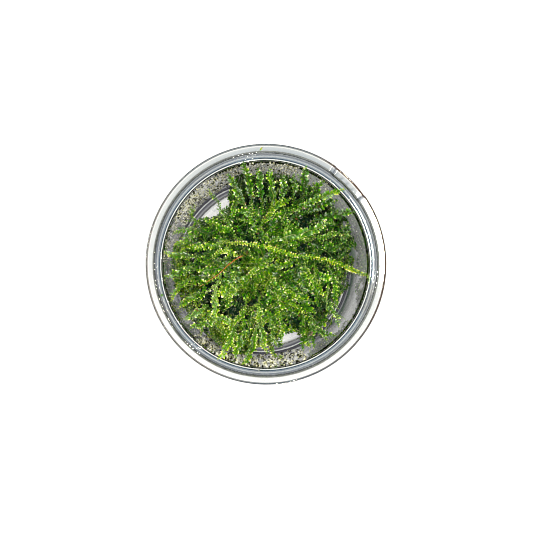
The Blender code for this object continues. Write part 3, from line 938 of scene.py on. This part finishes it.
def cup_corners():
    """The cup's section up its inside, over the rim and down its outside.

    Each corner has its radius, height and fillet radius, then how much painted dark, painted
    brownish shade and painted wall shade it gets.
    """
    land = CUP_HEIGHT
    groove = [
        (-0.0003, 0, 0.3), (-0.0002, 0, 0.9), (0, GROOVE_DEPTH, 1),
        (0.0002, 0, 0.9), (0.0004, 0, 0.95), (0.0007, 0, 0.65),
    ]
    under_groove = [(0.0003, 0.65), (0.0001, 1), (-0.0002, 1), (-0.0004, 0)]
    return [
        (0, FLOOR_TOP, 0),
        (CHANNEL_RADIUS - 0.0034, FLOOR_TOP, 0.0002),
        (CHANNEL_RADIUS - 0.0016, FLOOR_TOP, 0.0008, 0.8),
        (CHANNEL_RADIUS - 0.0004, CHANNEL_TOP, 0.0005, 1),
        (CHANNEL_RADIUS + 0.0003, CHANNEL_TOP, 0.0002),
        (CHANNEL_RADIUS + 0.0009, CHANNEL_TOP, 0.0004, 1),
        (WALL_ROOT_RADIUS, WALL_ROOT_Z, 0.0006, 1, 0, 1),
        (wall_radius(SHADY_UP_TO), SHADY_UP_TO, 0.0006, 0, 0, 1),
        (WALL_TOP_RADIUS - 0.00008, LEDGE_Z - WALL_TOP_EDGE, 0.0002, 0, 0, 0.6),
        (WALL_TOP_RADIUS, LEDGE_Z, 0.0004),
        *[(GROOVE_RADIUS + off, LEDGE_Z - drop, 0.0001, painted_dark) for off, drop, painted_dark in groove],
        (LEDGE_RADIUS - 0.0004, LEDGE_Z, 0.0001, 0.5),
        (LEDGE_RADIUS, LEDGE_Z, 0.0003, 0.8),
        (LAND_RADIUS, land, 0.0005, 0.55),
        (LAND_RADIUS + 0.0012, land, 0.0001, 0.85),
        (RIM_RADIUS - 0.0014, land, 0.0001, 0.75),
        (RIM_RADIUS - 0.0009, land, 0.0001, 0.2),
        (RIM_RADIUS - 0.0007, land, 0.0001, 0.9, 0.9),
        (RIM_RADIUS, land, 0.0004, 1, 1),
        (RIM_RADIUS, SKIRT_BOTTOM, 0.0002, 0.8, 0.9),
        (RIM_RADIUS - SKIRT_WALL, SKIRT_BOTTOM, 0.0002, 0.8, 0.9),
        (RIM_RADIUS - SKIRT_WALL, land - WALL, 0.0003, 0.6, 0.6),
        (RIM_RADIUS - SKIRT_WALL - 0.0003, land - WALL, 0.0001),
        (LAND_RADIUS + WALL, land - WALL, 0.0005),
        (LEDGE_RADIUS + WALL, LEDGE_Z - WALL, 0.0007, 0.6),
        *[(GROOVE_RADIUS + off, LEDGE_Z - WALL, 0.0001, painted_dark) for off, painted_dark in under_groove],
        (WALL_TOP_RADIUS + WALL_TOP_THICKNESS, LEDGE_Z - WALL, 0.0002),
        (WALL_TOP_RADIUS + WALL - 0.0003, LEDGE_Z - 0.006, 0.002, 0, 0, 1),
        (wall_radius(SHADY_UP_TO) + WALL, SHADY_UP_TO, 0.0006, 0, 0, 1),
        (WALL_ROOT_RADIUS + WALL, WALL_ROOT_Z, 0.001, 0.7, 0, 1),
        (FOOT_RADIUS, 0, 0.0006, 0.8),
        (CHANNEL_RADIUS - 0.0008, 0, 0.0004, 0.2),
        (CHANNEL_RADIUS - 0.0024, FLOOR_TOP - WALL, 0.0008, 0.2),
        (0, FLOOR_TOP - WALL, 0),
    ]


def filleted(corners):
    """The section's points with their looks, with an arc for each corner that isn't straight."""
    points = [(corners[0][:2], corners[0][3:])]
    for (ax, az, *_), (bx, bz, fillet, *look), (cx, cz, *_) in zip(corners, corners[1:], corners[2:]):
        here = np.array((bx, bz))
        back, on = np.array((ax, az)) - here, np.array((cx, cz)) - here
        back_run, on_run = norm(back), norm(on)
        back, on = back / back_run, on / on_run
        if norm(back + on) < 0.02:
            points.append((here, look))
            continue
        half = acos(max(-1.0, min(1.0, float(back @ on)))) / 2
        run = min(fillet / tan(half), 0.48 * back_run, 0.48 * on_run)
        radius = run * tan(half)
        centre = here + (back + on) / norm(back + on) * radius / sin(half)
        start, end = here + back * run - centre, here + on * run - centre
        for share in np.linspace(0, 1, FILLET_STEPS):
            way = start * (1 - share) + end * share
            points.append((centre + way / norm(way) * radius, look))
    points.append((corners[-1][:2], corners[-1][3:]))
    return points


def notch_share(azimuth):
    """1 in the notch, 0 out of it, and an eased value on its sloped ends; azimuth is in degrees."""
    off = abs((azimuth - NOTCH_AZIMUTH + 180) % 360 - 180)
    share = min(1.0, max(0.0, (NOTCH_WIDTH / 2 - off) / NOTCH_RAMP))
    return share * share * (3 - 2 * share)


def cup_azimuths():
    """Even steps round the cup, with fine ones on the notch's sloped ends."""
    even = [360.0 * k / CUP_STEPS for k in range(CUP_STEPS)]
    fine = []
    for side in (-1, 1):
        edge = NOTCH_AZIMUTH + side * NOTCH_WIDTH / 2
        fine += [edge - side * NOTCH_RAMP * k / 6 for k in range(7)]
    gap = 0.15
    return sorted(fine + [a for a in even if all(abs(a - f) > gap for f in fine)])


def build_cup(finish):
    section = filleted(cup_corners())
    azimuths = cup_azimuths()
    wall_shades = np.interp(azimuths, *zip(*WALL_PAINTED_SHADES), period=360)
    brown_shares = np.interp(azimuths, *zip(*RIM_PAINTED_BROWN), period=360)
    shape = bmesh.new()
    tone = shape.verts.layers.float_color.new("tone")
    rings = []
    for (radius, height), look in section:
        painted_dark, painted_brown, painted_wall_shade = (*look, 0, 0, 0)[:3]
        if radius == 0.0:
            rings.append([shape.verts.new((0, 0, height))])
            continue
        ring = []
        for azimuth, wall_shade_here, brown_here in zip(azimuths, wall_shades, brown_shares):
            notch = notch_share(azimuth) if height > CROWN_Z else 0.0
            turn = radians(azimuth)
            lowered = height - NOTCH_DEPTH * notch
            vertex = shape.verts.new((radius * cos(turn), radius * sin(turn), lowered))
            slope = 4 * notch * (1 - notch)
            dashes = notch * max(0.0, sin(DASH_TURNS * azimuth)) if radius < DASHES_END else 0.0
            # Painted brownish shade stands in for most of the painted dark; the land's blue painted
            # reflection is strongest towards BLUEST_AZIMUTH.
            painted_darkening = painted_dark * (1 - 0.8 * brown_here) if painted_brown else painted_dark
            if LAND_RADIUS + 0.001 < radius < RIM_RADIUS - 0.0008 and height == CUP_HEIGHT:
                painted_darkening *= 0.55 + 0.45 * cos(turn - radians(BLUEST_AZIMUTH))
            painted_darkening = max(painted_darkening, SLOPE_PAINTED_DARK * slope, DASH_PAINTED_DARK * dashes)
            vertex[tone] = (painted_wall_shade * wall_shade_here, painted_brown * brown_here, painted_darkening, 1.0)
            ring.append(vertex)
        rings.append(ring)
    for low, high in zip(rings, rings[1:]):
        for k in range(len(azimuths)):
            on = k + 1
            corners = [low[k % len(low)], low[on % len(low)], high[on % len(high)], high[k % len(high)]]
            shape.faces.new(list(dict.fromkeys(corners)))
    bmesh.ops.recalc_face_normals(shape, faces=shape.faces)
    mesh = bpy.data.meshes.new("cup_clear")
    shape.to_mesh(mesh)
    shape.free()
    mesh.shade_smooth()
    mesh.set_sharp_from_angle(angle=radians(35))
    mesh.materials.append(finish)
    place_piece(new_object("cup_clear", mesh), "clear_plastic", "cup")


def wall_radius(height):
    """The cup's inner radius at a height on its wall."""
    share = (height - WALL_ROOT_Z) / (LEDGE_Z - WALL_ROOT_Z)
    return WALL_ROOT_RADIUS + (WALL_TOP_RADIUS - WALL_ROOT_RADIUS) * share


# Loose leaves on the rim and the ledge, each by its place, length, width, bearing in degrees and tone
BITS = [
    ((-0.0027, 0.0446, 0.0541), 0.0022, 0.0007, 55, (0.85, 1.0, 0.3)),
    ((-0.0405, -0.0122, 0.0497), 0.002, 0.001, 190, (0.5, 0.3, 0.0)),
    ((-0.0023, -0.0421, 0.0496), 0.0009, 0.0008, 180, (0.05, 0.0, 1.0)),
]


def build_bits(finishes):
    growth = Growth()
    for place, length, width, bearing, tone in BITS:
        turn = radians(bearing)
        along = np.array([[cos(turn), sin(turn), 0.0]])
        leaf = FINE_LEAF.grown(np.array([place]), along, np.cross(UP, along), np.array([length]),
                               np.array([width]), np.array([tone]))
        growth.add(*leaf, 0)
    place_piece(growth.to_object("loose_leaves", finishes), "moss_tip")


# Droplets

# Each stretch of the wall that is misted over: its ends in degrees, how many droplets, and their radii
MISTED = [
    (72, 152, 1300, (0.00022, 0.0006)),
    (150, 180, 320, (0.00018, 0.00035)),
    (225, 294, 560, (0.0003, 0.00085)),
    (50, 72, 120, (0.00018, 0.00045)),
    (292, 420, 70, (0.00014, 0.00034)),
    (178, 225, 40, (0.00014, 0.00034)),
]
MIST_LOW = 0.006
MIST_HIGH = 0.047
DROP_SIDES = 8


def grow_drop(growth, middle, outward, radius, height, chance):
    """A dome of water on a wall, closed underneath, with painted highlight towards a chance bearing and
    painted shade away from it.
    """
    side = unit(np.cross(outward, UP))
    over = np.cross(outward, side)
    stretch = chance.uniform(0.85, 1.2)
    bearing = chance.uniform(0, 2 * pi)
    # The droplet's painted brightness, raised towards the bearing as highlight and lowered away from it as
    # shade
    bead = chance.uniform(0.25, 1.0)
    places, tones = [], []
    for share, rise in ((1.0, 0.0), (0.82, 0.55), (0.45, 0.9)):
        for k in range(DROP_SIDES):
            turn = 2 * pi * k / DROP_SIDES
            way = side * cos(turn) + over * sin(turn) * stretch
            places.append(middle + way * radius * share + outward * height * rise)
            tones.append(bead + 0.6 * share * cos(turn - bearing))
    places += [middle + outward * height, middle]
    tones = np.clip(tones + [bead, bead], 0.0, 1.0)
    top, foot = len(places) - 2, len(places) - 1
    corners = []
    for k in range(DROP_SIDES):
        on = (k + 1) % DROP_SIDES
        for low, high in ((0, DROP_SIDES), (DROP_SIDES, 2 * DROP_SIDES)):
            corners += [(low + k, low + on, high + on), (low + k, high + on, high + k)]
        corners.append((2 * DROP_SIDES + k, 2 * DROP_SIDES + on, top))
        corners.append((on, k, foot))
    growth.add(np.array(places), np.array(corners), np.column_stack([tones, tones, tones]), 0)


def build_droplets(finish):
    chance = random.Random(23)
    growth = Growth()
    slope = (WALL_TOP_RADIUS - WALL_ROOT_RADIUS) / (LEDGE_Z - WALL_ROOT_Z)
    for start, end, count, sizes in MISTED:
        for _ in range(count):
            turn = radians(chance.uniform(start, end))
            z = chance.uniform(MIST_LOW, MIST_HIGH)
            inward = unit(np.array([-cos(turn), -sin(turn), slope]))
            middle = np.array([wall_radius(z) * cos(turn), wall_radius(z) * sin(turn), z])
            radius = sizes[0] + (sizes[1] - sizes[0]) * chance.random() ** 2
            height = radius * chance.uniform(0.75, 1.0)
            grow_drop(growth, middle + inward * 0.00002, inward, radius, height, chance)
    place_piece(growth.to_object("droplets", [finish]), "clear_plastic")


# Stage

def build_floor():
    half = 3.0
    mesh = bpy.data.meshes.new("floor")
    corners = [(-half, -half, 0), (half, -half, 0), (half, half, 0), (-half, half, 0)]
    mesh.from_pydata(corners, [], [(0, 1, 2, 3)])
    mesh.materials.append(floor_material())
    obj = new_object("floor", mesh)
    obj.location.z = -0.0002


def add_light(name, place, size, power, colour):
    data = bpy.data.lights.new(name, "AREA")
    data.shape = "DISK"
    data.size = size
    data.energy = power
    data.color = colour
    obj = new_object(name, data)
    obj.location = place
    obj.rotation_euler = (LAMPS_AIM - Vector(place)).to_track_quat("-Z", "Y").to_euler()


def build_lights():
    """Small lamps all round, a soft light overhead and a room that is dim near the horizon."""
    for number, (azimuth, elevation, power) in enumerate(LAMPS, 1):
        turn, lift = radians(azimuth), radians(elevation)
        level = cos(lift)
        way = np.array([level * cos(turn), level * sin(turn), sin(lift)])
        add_light(f"lamp_{number}", LAMP_DISTANCE * way, LAMP_SIZE, power, LAMP_COLOUR)
    add_light("overhead", (-0.2, 0.1, 1.3), OVERHEAD_SIZE, OVERHEAD_POWER, OVERHEAD_COLOUR)
    world = bpy.data.worlds.new("room")
    world.use_nodes = True
    tree = world.node_tree
    way = add_node(tree, "TexCoord", {}).outputs["Generated"]
    parts = add_node(tree, "SeparateXYZ", {"Vector": way})
    sky = add_ramp(tree, [
        (0.0, (0.1, 0.1, 0.09)),
        (0.35, (0.22, 0.23, 0.2)),
        (0.75, (0.74, 0.77, 0.58)),
    ], parts.outputs["Z"])
    fill_inputs(tree, tree.nodes["Background"], {"Color": sky, "Strength": ROOM_STRENGTH})
    bpy.context.scene.world = world


def build_camera():
    """Above the cup, a little to its lower left, with the rim where the photo has it."""
    eye = Vector((*EYE_PLACE, CUP_HEIGHT + EYE_ABOVE_RIM))
    per_px = RIM_RADIUS / RIM_RADIUS_PX
    aim = Vector((
        (PHOTO_SIDE / 2 - RIM_MIDDLE_PX[0]) * per_px,
        -(PHOTO_SIDE / 2 - RIM_MIDDLE_PX[1]) * per_px,
        CUP_HEIGHT,
    ))
    away = (eye - aim).normalized()
    right = Vector((0, 1, 0)).cross(away).normalized()
    up = away.cross(right)
    data = bpy.data.cameras.new("camera")
    data.sensor_width = SENSOR
    data.lens = SENSOR / (PHOTO_SIDE * per_px) * (eye - aim).length
    data.dof.use_dof = False
    obj = new_object("camera", data)
    obj.matrix_world = Matrix.Translation(eye) @ Matrix((right, up, away)).transposed().to_4x4()
    bpy.context.scene.camera = obj


def main():
    leaf = leaf_material("moss_leaf", 1.0)
    deep_leaf = leaf_material("deep_moss_leaf", 0.15)
    green_stem = stem_material("green_stem", colour_of(44, 92, 10), colour_of(136, 160, 20))
    red_stem = stem_material("red_stem", colour_of(200, 22, 10), colour_of(214, 90, 24))
    finishes = [leaf, green_stem]
    build_cup(plastic_material())
    build_mat(finishes + [deep_leaf])
    build_shoots(finishes)
    dress_shoot("notch_shoot", finishes, "moss_tip")
    dress_shoot("long_shoot", finishes, "moss_tip", youth=(0.9, 0.6), root=False, dark=0.8, share=0.68)
    dress_shoot("red_stem", [leaf, red_stem], "red_stem", BARE, (0.2, 1.0), root=False, share=1.5)
    build_bits(finishes)
    build_droplets(water_material())
    build_floor()
    build_lights()
    build_camera()
    scene = bpy.context.scene
    scene.view_settings.view_transform = "Standard"
    scene.cycles.filter_width = 0.9


main()
